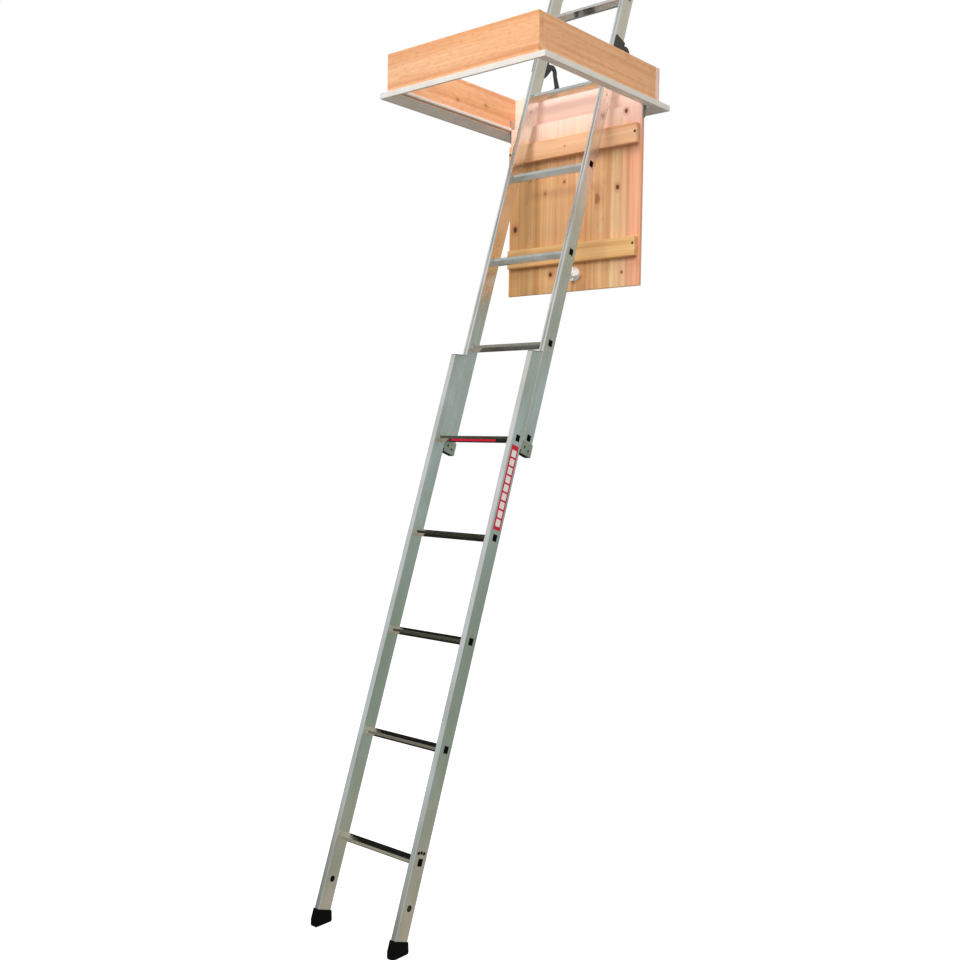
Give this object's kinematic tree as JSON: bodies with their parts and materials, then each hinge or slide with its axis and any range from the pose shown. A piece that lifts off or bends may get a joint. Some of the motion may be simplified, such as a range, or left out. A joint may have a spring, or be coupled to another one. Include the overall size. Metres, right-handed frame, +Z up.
{
  "type": "loft ladder",
  "caption": "Sliding aluminium loft ladder in a framed ceiling hatch: its two sections slide together and swing up as the pine trapdoor closes.",
  "frame": {"origin": "on the ceiling line, at the middle of the top face that the back architrave shows to the ceiling", "axes": "+Z up, -Y towards the climber, +X to the climber's right"},
  "size_m": [0.637, 1.0812, 2.8858],
  "materials": {
    "pine": "planed, lightly knotted, clear finish",
    "pine_ledge": "planed, clear finish",
    "cream_paint": "painted, satin",
    "zinc_steel": "zinc plated",
    "black_steel": "black powder coat, semi-gloss",
    "white_plastic": "moulded, slightly glossy",
    "black_rubber": "moulded, matte",
    "grey_plastic": "moulded, matte",
    "bracket_aluminium": "folded plate, mill finish",
    "rung_aluminium": "extruded, bright",
    "stile_aluminium": "extruded, mill finish"
  },
  "bodies": {
    "hatch_frame": {"lining_back": "pine", "lining_front": "pine", "lining_left": "pine", "lining_right": "pine", "architrave_back": "cream_paint", "architrave_front": "cream_paint", "architrave_left": "cream_paint", "architrave_right": "cream_paint", "stop_bead_front": "cream_paint", "stop_bead_left": "cream_paint", "stop_bead_right": "cream_paint", "catch_strike": "zinc_steel", "hatch_pivot_plate_left": "zinc_steel", "hatch_pivot_plate_right": "zinc_steel", "hatch_pivot_pin_left": "zinc_steel", "hatch_pivot_pin_right": "zinc_steel", "pivot_bracket_left": "black_steel", "pivot_bracket_right": "black_steel", "pivot_pin_left": "zinc_steel", "pivot_pin_right": "zinc_steel"},
    "trapdoor": {"door_board_1": "pine", "door_board_2": "pine", "door_board_3": "pine", "door_board_4": "pine", "door_board_5": "pine", "door_ledge_upper": "pine_ledge", "door_ledge_lower": "pine_ledge", "door_pivot_plate_left": "zinc_steel", "door_pivot_plate_right": "zinc_steel", "catch_body": "white_plastic"},
    "catch": {"catch_tongue": "white_plastic"},
    "pivot_arms": {"pivot_arm_left": "black_steel", "pivot_arm_right": "black_steel", "slide_shoe_left": "black_steel", "slide_shoe_right": "black_steel"},
    "upper_section": {"upper_stile_left": "stile_aluminium", "upper_stile_right": "stile_aluminium", "upper_plug_left": "black_rubber", "upper_plug_right": "black_rubber", "upper_cap_left": "grey_plastic", "upper_cap_right": "grey_plastic", "guide_bracket_left": "bracket_aluminium", "guide_bracket_right": "bracket_aluminium", "upper_rung_1": "rung_aluminium", "upper_rung_2": "rung_aluminium", "upper_rung_3": "rung_aluminium", "upper_rung_4": "rung_aluminium", "upper_rung_5": "rung_aluminium", "upper_rung_6": "rung_aluminium"},
    "lower_section": {"lower_stile_left": "stile_aluminium", "lower_stile_right": "stile_aluminium", "foot_left": "black_rubber", "foot_right": "black_rubber", "lower_cap_left": "grey_plastic", "lower_cap_right": "grey_plastic", "lower_rung_1": "rung_aluminium", "lower_rung_2": "rung_aluminium", "lower_rung_3": "rung_aluminium", "lower_rung_4": "rung_aluminium", "lower_rung_5": "rung_aluminium"}
  },
  "joints": [
    {"name": "upper_slide", "type": "slide", "parent": "pivot_arms", "child": "upper_section", "axis": [0, 0.319, 0.9478], "range_m": [0, 1.2]},
    {"name": "pivot_tilt", "type": "hinge", "parent": "hatch_frame", "child": "pivot_arms", "pos_m": [0, 0.0407, 0.14], "axis": [-1, 0, 0], "range_deg": [0, 45]},
    {"name": "lower_slide", "type": "slide", "parent": "upper_section", "child": "lower_section", "axis": [0, 0.319, 0.9478], "range_m": [0, 1.3]},
    {"name": "trapdoor_hinge", "type": "hinge", "parent": "hatch_frame", "child": "trapdoor", "pos_m": [0, -0.0503, -0.01], "axis": [-1, 0, 0], "range_deg": [0, 90]},
    {"name": "catch_turn", "type": "hinge", "parent": "trapdoor", "child": "catch", "pos_m": [0.016, -0.0608, -0.5084], "axis": [0, 1, 0], "range_deg": [0, 90]}
  ],
  "couplings": [
    {"joint": "pivot_tilt", "follows": "upper_slide", "rad_per_m": 0.65449},
    {"joint": "lower_slide", "follows": "upper_slide", "ratio": 1.0833},
    {"joint": "trapdoor_hinge", "follows": "upper_slide", "rad_per_m": 1.3089}
  ]
}
